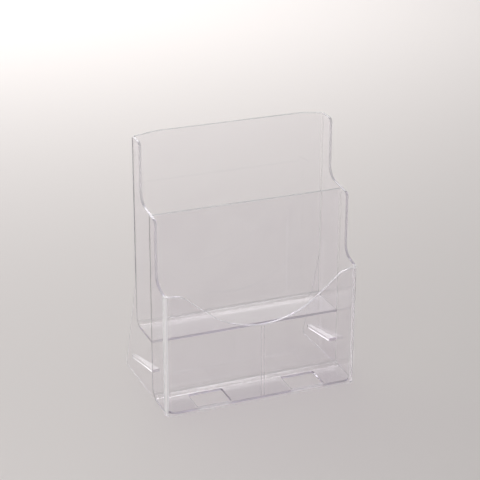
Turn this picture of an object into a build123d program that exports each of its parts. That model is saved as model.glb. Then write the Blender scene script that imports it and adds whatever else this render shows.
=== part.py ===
from build123d import *
from math import atan, pi, tan
import os

# A clear, free-standing two-tier rack for A4 magazines, built from bent and cut sheet.
# Millimetres. X runs across the rack, the front faces -Y and Z is up. The origin is at the
# middle of the base, on the surface that the rack stands on.

# ---- driving dimensions -------------------------------------------------------------------
rack_width = 227.0       # outside, across the two side panels
rack_depth = 140.5       # front panel's face to the tips of the rear feet
side_height = 292.0      # top of the rear fins
wall = 2.8               # thickness of every sheet
glue_line = 0.05         # gap left between cemented faces

# heights
front_height = 143.0     # shoulders of the front panel
middle_height = 219.5    # top of the middle panel and of the front fins
front_floor_lift = 1.8   # underside of the front floor above the table
rear_floor_lift = 68.5   # underside of the rear floor above the table
back_crown = 3.5         # rise of the back panel's top edge above the rear fins
crown_run = 28.0         # width over which it rises, at each end
crown_radius = 120.0
foot_height = 120.0      # where the rear edge of a side starts to flare out
front_step_rise = 5.0    # how far each step of a side rises from its front to the fin's edge
rear_step_rise = 5.0
side_front_lift = 3.0    # how far a side's lower edge clears the table at its front end

# distances back from the front face
middle_set_back = 47.2   # front face of the middle panel
back_set_back = 97.7     # front face of the back panel
front_fin_edge = 31.2    # front edge of the front fins
rear_fin_edge = 77.3     # front edge of the rear fins

# bends and rounded corners
corner_radius = 8.0      # outside of the front panel's upright corners
corner_return = 9.0      # how far the front panel's ends reach back round the corners
front_bend_radius = 13.4     # outside of the bend from middle panel to front floor
rear_bend_radius = 10.8      # outside of the bend from back panel to rear floor
fin_corner_radius = 6.0
rear_corner_radius = 2.5
front_sweep_radius = 14.0
rear_sweep_radius = 15.0
foot_blend_radius = 60.0
foot_tip_radius = 4.0
foot_length = 12.0       # from the sharp corner of a rear foot to the end of its flat
foot_lift_radius = 100.0     # where the foot's flat runs into the lifted edge
floor_corner_radius = 12.0   # front corners of the front floor
rim_rounding = 0.5       # rounded edges of the free rims and of the sides' bases
base_rounding = 1.0      # outside edge along the foot of the front panel

# wave in the front panel's top edge
wave_half_width = 95.5   # where the slopes would meet the shoulders if the corners were sharp
wave_vertex_height = 62.3    # where the two slopes would meet each other
wave_dip_radius = 100.0
wave_shoulder_radius = 26.0

# windows in the front floor
window_width = 40.5
window_depth = 31.0
window_centre = 56.3     # from the rack's middle to a window's middle
window_inset = 2.4       # strip of floor left in front of a window
window_corner_radius = 2.0

# corner gussets under the rear floor
gusset_thickness = 3.6
gusset_length = 72.0
gusset_front_width = 8.5
gusset_rear_width = 4.0
gusset_front_height = 35.6
gusset_slope = 11.6      # degrees, falling towards the back

# divider ribs on the inside of the front panel
rib_spacing = 3.6
rib_width = 0.9
rib_depth = 1.7
rib_top_gap = 4.0        # below the lowest point of the wave
rib_bottom_gap = 0.6     # above the front floor

# ---- places that follow from them -----------------------------------------------------------
front_y = -rack_depth / 2
back_y = rack_depth / 2
middle_front_y = front_y + middle_set_back
middle_rear_y = middle_front_y + wall
back_front_y = front_y + back_set_back
back_rear_y = back_front_y + wall
foot_flare = atan((back_y - back_rear_y) / foot_height)
foot_corner_y = back_y + foot_tip_radius * (1 / tan(pi / 4 - foot_flare / 2) - 1)
side_front_y = front_y + corner_return + glue_line
side_inner_x = rack_width / 2 - wall
tray_half_width = side_inner_x - glue_line
front_floor_top = front_floor_lift + wall
wave_lowest = wave_vertex_height + wave_dip_radius * (
    (((front_height - wave_vertex_height) / wave_half_width) ** 2 + 1) ** 0.5 - 1
)


# ---- side panels ----------------------------------------------------------------------------
with BuildPart() as right_side_panel:
    with BuildSketch(Plane.YZ.offset(side_inner_x)):
        with BuildLine():
            FilletPolyline(
                (side_front_y, side_front_lift),
                (side_front_y, front_height),
                (front_y + front_fin_edge, front_height + front_step_rise),
                (front_y + front_fin_edge, middle_height),
                (front_y + rear_fin_edge, middle_height + rear_step_rise),
                (front_y + rear_fin_edge, side_height),
                (back_rear_y, side_height),
                (back_rear_y, foot_height),
                (foot_corner_y, 0),
                (foot_corner_y - foot_length, 0),
                radius=[
                    0.0,
                    0.0,
                    front_sweep_radius,
                    fin_corner_radius,
                    rear_sweep_radius,
                    fin_corner_radius,
                    rear_corner_radius,
                    foot_blend_radius,
                    foot_tip_radius,
                    foot_lift_radius,
                ],
                close=True,
            )
        make_face()
    extrude(amount=wall)
    free_rim = right_side_panel.edges().filter_by(Plane.YZ).filter_by(
        lambda e: e.center().Y > side_front_y + glue_line and e.center().Z > glue_line
    )
    fillet(free_rim, radius=rim_rounding)
right_side_panel.part.label = "right_side_panel"

with BuildPart() as left_side_panel:
    mirror(right_side_panel.part, about=Plane.YZ)
left_side_panel.part.label = "left_side_panel"


# ---- rear tray: back panel, bend and raised rear floor --------------------------------------
with BuildPart() as rear_tray:
    with BuildSketch(Plane.YZ):
        with BuildLine():
            FilletPolyline(
                (back_rear_y - wall / 2, side_height + back_crown),
                (back_rear_y - wall / 2, rear_floor_lift + wall / 2),
                (middle_rear_y + glue_line, rear_floor_lift + wall / 2),
                radius=rear_bend_radius - wall / 2,
            )
        trace(line_width=wall)
    extrude(amount=tray_half_width, both=True)
    with BuildSketch(Plane.XZ.offset(-back_front_y)) as above_crown:
        with BuildLine():
            FilletPolyline(
                (-rack_width / 2, side_height),
                (-rack_width / 2 + crown_run, side_height + back_crown),
                (rack_width / 2 - crown_run, side_height + back_crown),
                (rack_width / 2, side_height),
                (rack_width / 2, side_height + 2 * back_crown),
                (-rack_width / 2, side_height + 2 * back_crown),
                radius=[0.0, crown_radius, crown_radius, 0.0, 0.0, 0.0],
                close=True,
            )
        make_face()
    extrude(amount=-wall, mode=Mode.SUBTRACT)
    top_edges = rear_tray.faces().filter_by(Plane.XZ).edges().filter_by(
        lambda e: e.center().Z > side_height - back_crown and e.length > wall
    )
    fillet(top_edges.filter_by(lambda e: abs(e.tangent_at(0.5).X) > 0.5), radius=rim_rounding)
rear_tray.part.label = "rear_tray"


# ---- front tray: middle panel, bend and front floor with its two windows --------------------
with BuildPart() as front_tray:
    with BuildSketch(Plane.YZ):
        with BuildLine():
            FilletPolyline(
                (middle_rear_y - wall / 2, middle_height),
                (middle_rear_y - wall / 2, front_floor_lift + wall / 2),
                (front_y + wall + glue_line, front_floor_lift + wall / 2),
                radius=front_bend_radius - wall / 2,
            )
        trace(line_width=wall)
    extrude(amount=tray_half_width, both=True)
    floor_corners = front_tray.edges().filter_by(Axis.Z).group_by(Axis.Y)[0]
    fillet(floor_corners, radius=floor_corner_radius)
    window_y = front_y + wall + window_inset + window_depth / 2
    with BuildSketch(Plane.XY):
        with Locations((-window_centre, window_y), (window_centre, window_y)):
            RectangleRounded(window_width, window_depth, window_corner_radius)
    extrude(amount=2 * front_floor_top, mode=Mode.SUBTRACT)
    top_edges = front_tray.edges().filter_by(Axis.X).group_by(Axis.Z)[-1]
    fillet(top_edges, radius=rim_rounding)
front_tray.part.label = "front_tray"


# ---- front panel: wave-topped, with its ends turned back round the corners ------------------
with BuildPart() as front_panel:
    with BuildSketch(Plane.XY):
        with BuildLine():
            FilletPolyline(
                (-rack_width / 2 + wall / 2, front_y + corner_return),
                (-rack_width / 2 + wall / 2, front_y + wall / 2),
                (rack_width / 2 - wall / 2, front_y + wall / 2),
                (rack_width / 2 - wall / 2, front_y + corner_return),
                radius=corner_radius - wall / 2,
            )
        trace(line_width=wall)
    extrude(amount=front_height)
    with BuildSketch(Plane.XZ.offset(-front_y)):
        with BuildLine():
            FilletPolyline(
                (-wave_half_width, front_height),
                (0, wave_vertex_height),
                (wave_half_width, front_height),
                radius=wave_dip_radius,
            )
            Line((wave_half_width, front_height), (-wave_half_width, front_height))
        make_face()
    extrude(amount=-wall, mode=Mode.SUBTRACT)
    shoulders = front_panel.edges().filter_by(Axis.Y).filter_by(
        lambda e: abs(abs(e.center().X) - wave_half_width) < glue_line
    )
    fillet(shoulders, radius=wave_shoulder_radius)
    wave_rim = front_panel.edges().filter_by(
        lambda e: e.center().Z > wave_lowest - glue_line
        and abs(e.tangent_at(0.5).Z) < 0.9
        and e.length > 2 * wall
    )
    fillet(wave_rim, radius=rim_rounding)
    foot_edge = front_panel.edges().group_by(Axis.Z)[0].sort_by(Axis.Y)[0]
    fillet(foot_edge, radius=base_rounding)
front_panel.part.label = "front_panel"


# ---- corner gussets: sloping webs between the middle panel and each side --------------------
with BuildPart() as right_corner_gusset:
    gusset_plane = Plane(
        origin=(tray_half_width, middle_rear_y + glue_line, gusset_front_height),
        x_dir=(1, 0, 0),
        z_dir=(0, 0, 1),
    ).rotated((-gusset_slope, 0, 0))
    with BuildSketch(gusset_plane):
        with BuildLine():
            Polyline(
                (0, -gusset_thickness),
                (0, gusset_length),
                (-gusset_rear_width, gusset_length),
                (-gusset_front_width, 0),
                (-gusset_front_width, -gusset_thickness),
                close=True,
            )
        make_face()
    extrude(amount=-gusset_thickness)
    split(bisect_by=Plane.XZ.offset(-middle_rear_y - glue_line), keep=Keep.BOTTOM)
right_corner_gusset.part.label = "right_corner_gusset"

with BuildPart() as left_corner_gusset:
    mirror(right_corner_gusset.part, about=Plane.YZ)
left_corner_gusset.part.label = "left_corner_gusset"


# ---- divider ribs on the inside of the front panel ------------------------------------------
with BuildPart() as right_guide_rib:
    rib_bottom = front_floor_top + rib_bottom_gap
    with BuildSketch(Plane.XY.offset(rib_bottom)):
        with Locations((rib_spacing / 2, front_y + wall + glue_line)):
            Rectangle(rib_width, rib_depth, align=(Align.CENTER, Align.MIN))
    extrude(amount=wave_lowest - rib_top_gap - rib_bottom)
    inner_edges = right_guide_rib.faces().sort_by(Axis.Y)[-1].edges()
    fillet(inner_edges, radius=rib_width / 3)
right_guide_rib.part.label = "right_guide_rib"

with BuildPart() as left_guide_rib:
    mirror(right_guide_rib.part, about=Plane.YZ)
left_guide_rib.part.label = "left_guide_rib"


# ---- write the pieces -----------------------------------------------------------------------
os.makedirs("parts", exist_ok=True)
pieces = (
    left_side_panel,
    right_side_panel,
    rear_tray,
    front_tray,
    front_panel,
    left_corner_gusset,
    right_corner_gusset,
    left_guide_rib,
    right_guide_rib,
)
for piece in pieces:
    export_step(piece.part, f"parts/{piece.part.label}.step")
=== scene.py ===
import math

import bpy
from mathutils import Matrix, Vector


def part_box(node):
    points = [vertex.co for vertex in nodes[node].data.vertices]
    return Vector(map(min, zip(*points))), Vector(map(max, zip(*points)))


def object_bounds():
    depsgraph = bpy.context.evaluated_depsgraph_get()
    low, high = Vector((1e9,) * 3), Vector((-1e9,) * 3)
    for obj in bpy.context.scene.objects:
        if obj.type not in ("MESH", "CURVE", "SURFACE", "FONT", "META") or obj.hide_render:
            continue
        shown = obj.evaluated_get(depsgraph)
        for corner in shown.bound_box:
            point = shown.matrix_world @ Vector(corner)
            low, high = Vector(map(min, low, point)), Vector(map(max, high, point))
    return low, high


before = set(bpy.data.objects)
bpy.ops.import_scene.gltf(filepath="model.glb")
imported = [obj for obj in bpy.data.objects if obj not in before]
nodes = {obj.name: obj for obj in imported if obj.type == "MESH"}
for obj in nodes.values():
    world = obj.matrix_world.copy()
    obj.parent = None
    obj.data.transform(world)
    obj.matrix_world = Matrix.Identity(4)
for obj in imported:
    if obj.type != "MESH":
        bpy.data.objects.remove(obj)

cad_low, cad_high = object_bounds()
scene = bpy.context.scene

# ---------------------------------------------------------------- the camera

VIEW_AZIMUTH = math.radians(-22.206)     # from straight in front, round to the rack's left
VIEW_PITCH = math.radians(22.592)        # how far the camera looks down
VIEW_ROLL = math.radians(0.194)
VIEW_DISTANCE = 1.6486                   # from the camera to the point it aims at
AIM_LEFT = 0.0285                        # the aim is on the plane of the front, left of the middle
AIM_HEIGHT = 0.1971
LENS = 116.74                            # focal length, in millimetres
SENSOR = 36.0                            # width of the sensor, in millimetres


def add_camera():
    """The one camera: a long lens that looks down at the rack from the front left, as in the photo."""
    middle_x = (cad_low.x + cad_high.x) / 2
    aim = Vector((middle_x - AIM_LEFT, cad_low.y, cad_low.z + AIM_HEIGHT))
    back = Vector((
        math.sin(VIEW_AZIMUTH) * math.cos(VIEW_PITCH),
        -math.cos(VIEW_AZIMUTH) * math.cos(VIEW_PITCH),
        math.sin(VIEW_PITCH),
    ))
    level_right = Vector((0, 0, 1)).cross(back).normalized()
    level_up = back.cross(level_right)
    right = level_right * math.cos(VIEW_ROLL) + level_up * math.sin(VIEW_ROLL)
    up = back.cross(right)
    data = bpy.data.cameras.new("camera")
    data.sensor_width = SENSOR
    data.lens = LENS
    camera = bpy.data.objects.new("camera", data)
    scene.collection.objects.link(camera)
    turn = Matrix((right, up, back)).transposed().to_4x4()
    camera.matrix_world = Matrix.Translation(aim + back * VIEW_DISTANCE) @ turn
    scene.camera = camera


# ---------------------------------------------------------------- shader nodes


def put(socket, value):
    """Set a socket to a value, or link it where the value is another node's output."""
    if isinstance(value, bpy.types.NodeSocket):
        socket.id_data.links.new(value, socket)
    else:
        socket.default_value = value


def add_node(tree, kind, inputs):
    """A new shader node with the named inputs set or linked."""
    node = tree.nodes.new("ShaderNode" + kind)
    for name, value in inputs.items():
        put(node.inputs[name], value)
    return node


def step(tree, value, start, end, low=0.0, high=1.0):
    """A smooth change from low to high, while value goes from start to end."""
    node = add_node(tree, "MapRange", {
        "Value": value, "From Min": start, "From Max": end, "To Min": low, "To Max": high,
    })
    node.interpolation_type = "SMOOTHSTEP"
    return node.outputs["Result"]


def calculate(tree, operation, *values):
    """The result of a math operation on values, each a number or another node's output."""
    node = tree.nodes.new("ShaderNodeMath")
    node.operation = operation
    for socket, value in zip(node.inputs, values):
        put(socket, value)
    return node.outputs[0]


def mix_colours(tree, factor, first, second):
    """The first colour where factor is 0, and the second where it is 1."""
    node = tree.nodes.new("ShaderNodeMix")
    node.data_type = "RGBA"
    sockets = {socket.identifier: socket for socket in node.inputs}
    put(sockets["Factor_Float"], factor)
    put(sockets["A_Color"], first)
    put(sockets["B_Color"], second)
    return next(socket for socket in node.outputs if socket.identifier == "Result_Color")


def mix_shaders(tree, factor, first, second):
    """The first shader where factor is 0, and the second where it is 1."""
    node = tree.nodes.new("ShaderNodeMixShader")
    for socket, value in zip(node.inputs, (factor, first, second)):
        put(socket, value)
    return node.outputs[0]


def noise(tree, scale, detail, stretch=(1, 1, 1), offset=(0, 0, 0)):
    """Noise that is fixed to the object, at places multiplied by stretch and moved by offset."""
    place = tree.nodes.new("ShaderNodeTexCoord").outputs["Object"]
    moved = add_node(tree, "Mapping", {"Vector": place, "Scale": stretch, "Location": offset})
    pattern = {"Vector": moved.outputs[0], "Scale": scale, "Detail": detail}
    return add_node(tree, "TexNoise", pattern).outputs[0]


# ---------------------------------------------------------------- floor, studio and lights

FLOOR_SIZE = 12.0
FLOOR_DROP = 0.0002                      # keeps the floor clear of the plastic standing on it
FLOOR_COLOUR = (0.79, 0.752, 0.737, 1)
FLOOR_ROUGHNESS = 0.9
FLOOR_SPECULAR = 0.2

STUDIO_COLOUR = (1.0, 0.985, 0.98, 1)
WALL_BEHIND = 2.3                        # brightness of the studio wall behind the rack
WALL_FOOT = 0.92                         # of the foot of that wall
WALL_BEFORE = 0.50                       # and of the wall in front of the rack
WALL_TURN = (-0.4, 0.8)                  # how far backwards a direction points where they blend
CEILING = 0.06
FOOT_TOP = (0.05, 0.13)                  # sines of the heights between which the wall brightens
WALL_TOP = (0.20, 0.58)                  # and of those between which it turns to ceiling

# name, place, point it faces, width and depth, watts
LIGHTS = (
    ("softbox_back", (-0.3, 1.8, 1.7), (-0.3, 1.6, 0.0), (2.2, 1.0), 29),
    ("softbox_far", (0.6, 1.95, 1.5), (0.65, 2.1, 0.0), (1.6, 0.5), 14),
    ("softbox_left", (-0.9, -0.8, 0.9), (-0.35, -0.25, 0.0), (0.35, 0.35), 5.6),
    ("softbox_right", (0.55, -0.3, 1.5), (0.0, 0.0, 0.1), (0.3, 0.4), 1.4),
)


def add_floor():
    """A plain, pale, dull floor."""
    mesh = bpy.data.meshes.new("floor")
    half = FLOOR_SIZE / 2
    corners = [(-half, -half, 0), (half, -half, 0), (half, half, 0), (-half, half, 0)]
    mesh.from_pydata(corners, [], [(0, 1, 2, 3)])
    floor = bpy.data.objects.new("floor", mesh)
    floor.location.z = cad_low.z - FLOOR_DROP
    scene.collection.objects.link(floor)
    material = bpy.data.materials.new("floor_paper")
    material.use_nodes = True
    shader = material.node_tree.nodes["Principled BSDF"]
    put(shader.inputs["Base Color"], FLOOR_COLOUR)
    put(shader.inputs["Roughness"], FLOOR_ROUGHNESS)
    put(shader.inputs["Specular IOR Level"], FLOOR_SPECULAR)
    mesh.materials.append(material)


def add_sky():
    """A studio in the round: its wall is brightest behind the rack, and its ceiling is dim."""
    world = bpy.data.worlds.new("studio")
    world.use_nodes = True
    tree = world.node_tree
    tree.nodes.clear()
    direction = tree.nodes.new("ShaderNodeTexCoord").outputs["Generated"]
    towards = add_node(tree, "SeparateXYZ", {"Vector": direction}).outputs
    wall = step(tree, towards["Y"], *WALL_TURN, WALL_BEFORE, WALL_BEHIND)
    foot = step(tree, towards["Y"], *WALL_TURN, WALL_BEFORE, WALL_FOOT)
    upright = step(tree, towards["Z"], *FOOT_TOP, foot, wall)
    level = step(tree, towards["Z"], *WALL_TOP, upright, CEILING)
    glow = add_node(tree, "Background", {"Color": STUDIO_COLOUR, "Strength": level})
    add_node(tree, "OutputWorld", {"Surface": glow.outputs[0]})
    scene.world = world


def add_light(name, place, aim, size, power):
    """A softbox: a rectangular lamp that faces the point it aims at."""
    data = bpy.data.lights.new(name, "AREA")
    data.shape = "RECTANGLE"
    data.size, data.size_y = size
    data.energy = power
    lamp = bpy.data.objects.new(name, data)
    scene.collection.objects.link(lamp)
    lamp.location = place
    lamp.rotation_mode = "QUATERNION"
    lamp.rotation_quaternion = (Vector(place) - Vector(aim)).to_track_quat("Z", "Y")


add_camera()
add_floor()
add_sky()
for light in LIGHTS:
    add_light(*light)

# ---------------------------------------------------------------- the clear plastic

FACE_TINT = (0.99, 0.985, 0.995, 1)
SMEAR_TINT = (0.965, 0.955, 0.97, 1)
PASSED_TINT = (0.988, 0.985, 0.99, 1)    # of the light that goes straight through a sheet
INNER_TINT = (0.75, 0.68, 0.80, 1)       # lilac, seen where light runs a long way in the sheet
TINT_DENSITY = 11.0                      # of the inner tint, per metre
PLASTIC_IOR = 1.57

FACE_ROUGHNESS = 0.012
SMEAR_ROUGHNESS = 0.045                  # where hands and paper have dulled the polish
RUB_ROUGHNESS = 0.12                     # in the fine rubs
RIM_ROUGHNESS = 0.24                     # the rims are satin, not polished

SMEAR_SCALE = 16.0
SMEAR_EDGE = (0.5, 0.72)                 # noise levels between which a smear starts
RUB_STRETCH = (900, 900, 28)             # rubs run up and down, the way that magazines slide
RUB_EDGE = (0.66, 0.72)
RUB_OFFSET = (3.1, 1.7, 0.4)             # the offsets keep the patterns from lining up
PATCH_SCALE = 9.0                        # rubs come in patches
PATCH_EDGE = (0.45, 0.65)
PATCH_OFFSET = (0.6, 2.3, 5.2)
RUB_DEPTH = 0.00002
RUB_STRENGTH = 0.3
WAVE_SCALE = 22.0                        # the faces aren't quite flat
WAVE_HEIGHT = 0.00005
WAVE_STRENGTH = 0.5


def rim_mask(tree, rims):
    """1 on the rims and bends of a sheet, and 0 on its faces.

    Each of rims is an axis of the normal, and the two sizes of the normal's part along it
    between which a rim starts. An axis of the place may follow, with two places along it
    between which the rim starts too."""
    coordinates = tree.nodes.new("ShaderNodeTexCoord").outputs
    normal = add_node(tree, "SeparateXYZ", {"Vector": coordinates["Normal"]}).outputs
    place = add_node(tree, "SeparateXYZ", {"Vector": coordinates["Object"]}).outputs
    mask = 0.0
    for facing, start, end, *spot in rims:
        rim = step(tree, calculate(tree, "ABSOLUTE", normal[facing]), start, end)
        if spot:
            along, outside, inside = spot
            rim = calculate(tree, "MULTIPLY", rim, step(tree, place[along], outside, inside))
        mask = calculate(tree, "MAXIMUM", mask, rim)
    return mask


def marks_of_use(tree):
    """Two masks: one for smears, and one for fine rubs, which come in patches."""
    smears = step(tree, noise(tree, SMEAR_SCALE, detail=4.0), *SMEAR_EDGE)
    lines = noise(tree, scale=1.0, detail=2.0, stretch=RUB_STRETCH, offset=RUB_OFFSET)
    patches = noise(tree, PATCH_SCALE, detail=2.0, offset=PATCH_OFFSET)
    rubs = calculate(tree, "MULTIPLY", step(tree, lines, *RUB_EDGE), step(tree, patches, *PATCH_EDGE))
    return smears, rubs


def uneven_surface(tree, rubs):
    """The normal of faces that wave a little and have shallow rubs."""
    waves = add_node(tree, "Bump", {
        "Height": noise(tree, WAVE_SCALE, detail=1.0),
        "Strength": WAVE_STRENGTH,
        "Distance": WAVE_HEIGHT,
    })
    scratches = add_node(tree, "Bump", {
        "Height": calculate(tree, "SUBTRACT", 1.0, rubs),
        "Strength": RUB_STRENGTH,
        "Distance": RUB_DEPTH,
        "Normal": waves.outputs[0],
    })
    return scratches.outputs[0]


def let_light_through(tree, surface):
    """The surface, which casts almost no shadow and lets the floor behind it be lit."""
    path = tree.nodes.new("ShaderNodeLightPath").outputs
    passed = add_node(tree, "BsdfTransparent", {"Color": PASSED_TINT}).outputs[0]
    scattered = mix_shaders(tree, path["Is Diffuse Ray"], surface, passed)
    return mix_shaders(tree, path["Is Shadow Ray"], scattered, passed)


def clear_plastic(name, rims, milk):
    """Clear plastic: polished faces that wave a little, satin rims, and fine marks of use.

    rims is as in rim_mask, and milk is the share of the light that the rims scatter."""
    material = bpy.data.materials.new(name)
    material.use_nodes = True
    tree = material.node_tree
    shader = tree.nodes["Principled BSDF"]
    out = tree.nodes["Material Output"]

    smears, rubs = marks_of_use(tree)
    rough = step(tree, smears, 0.0, 1.0, FACE_ROUGHNESS, SMEAR_ROUGHNESS)
    rough = calculate(tree, "MAXIMUM", rough, calculate(tree, "MULTIPLY", rubs, RUB_ROUGHNESS))
    clearness = 1.0
    if rims:
        rim = rim_mask(tree, rims)
        rough = calculate(tree, "MAXIMUM", rough, calculate(tree, "MULTIPLY", rim, RIM_ROUGHNESS))
        clearness = calculate(tree, "SUBTRACT", 1.0, calculate(tree, "MULTIPLY", rim, milk))
    put(shader.inputs["Base Color"], mix_colours(tree, smears, FACE_TINT, SMEAR_TINT))
    put(shader.inputs["Roughness"], rough)
    put(shader.inputs["Transmission Weight"], clearness)
    put(shader.inputs["IOR"], PLASTIC_IOR)
    put(shader.inputs["Normal"], uneven_surface(tree, rubs))

    inner = add_node(tree, "VolumeAbsorption", {"Color": INNER_TINT, "Density": TINT_DENSITY})
    put(out.inputs["Surface"], let_light_through(tree, shader.outputs[0]))
    put(out.inputs["Volume"], inner.outputs[0])
    return material


BAND = 0.003                             # height of a tray's satin bands, about the sheet's thickness
BEND = 0.008                             # radius of the front panel's upright corners
BEND_FADE = 0.002                        # width over which a bend's satin band fades in
JOINT_FADE = 0.0006                      # the same for the cemented ends behind the bends

SIDE_RIMS = (("X", 0.95, 0.6),)          # all that doesn't face left or right

panel_low, panel_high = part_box("front_panel")
joint_y = panel_low.y + BEND
corner_x = panel_high.x - BEND
PANEL_RIMS = (
    ("Z", 0.1, 0.5),                                            # the wavy top and the foot
    ("Y", 0.5, 0.9, "Y", joint_y, joint_y + JOINT_FADE),        # the cemented ends
    ("Y", 0.88, 0.5, "X", corner_x, corner_x + BEND_FADE),      # the right bend
    ("Y", 0.88, 0.5, "X", -corner_x, -corner_x - BEND_FADE),    # the left bend
)


def tray_rims(tray):
    """The top edge of a tray's panel, and the front and window edges of its floor."""
    low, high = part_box(tray)
    return (
        ("Z", 0.1, 0.5, "Z", high.z - 2 * BAND, high.z - BAND),
        ("Y", 0.5, 0.9, "Z", low.z + 2 * BAND, low.z + BAND),
    )


SMALL_PIECES = (
    "left_corner_gusset", "right_corner_gusset", "left_guide_rib", "right_guide_rib",
)
# name, rims, milk, the pieces that wear it
MATERIALS = (
    ("clear_plastic_sides", SIDE_RIMS, 0.4, ("left_side_panel", "right_side_panel")),
    ("clear_plastic_front", PANEL_RIMS, 0.45, ("front_panel",)),
    ("clear_plastic_front_tray", tray_rims("front_tray"), 0.45, ("front_tray",)),
    ("clear_plastic_rear_tray", tray_rims("rear_tray"), 0.45, ("rear_tray",)),
    ("clear_plastic_small", (), 0.0, SMALL_PIECES),
)
for name, rims, milk, wearers in MATERIALS:
    plastic = clear_plastic(name, rims, milk)
    for wearer in wearers:
        node = nodes[wearer]
        node.data.materials.clear()
        node.data.materials.append(plastic)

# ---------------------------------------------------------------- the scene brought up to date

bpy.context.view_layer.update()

# ---------------------------------------------------------------- how light is followed and shown

BOUNCES = 48                             # light turns many times inside sheets with sharp edges

scene.view_settings.view_transform = "Standard"
scene.cycles.max_bounces = BOUNCES
scene.cycles.glossy_bounces = BOUNCES
scene.cycles.transmission_bounces = BOUNCES
scene.cycles.transparent_max_bounces = BOUNCES
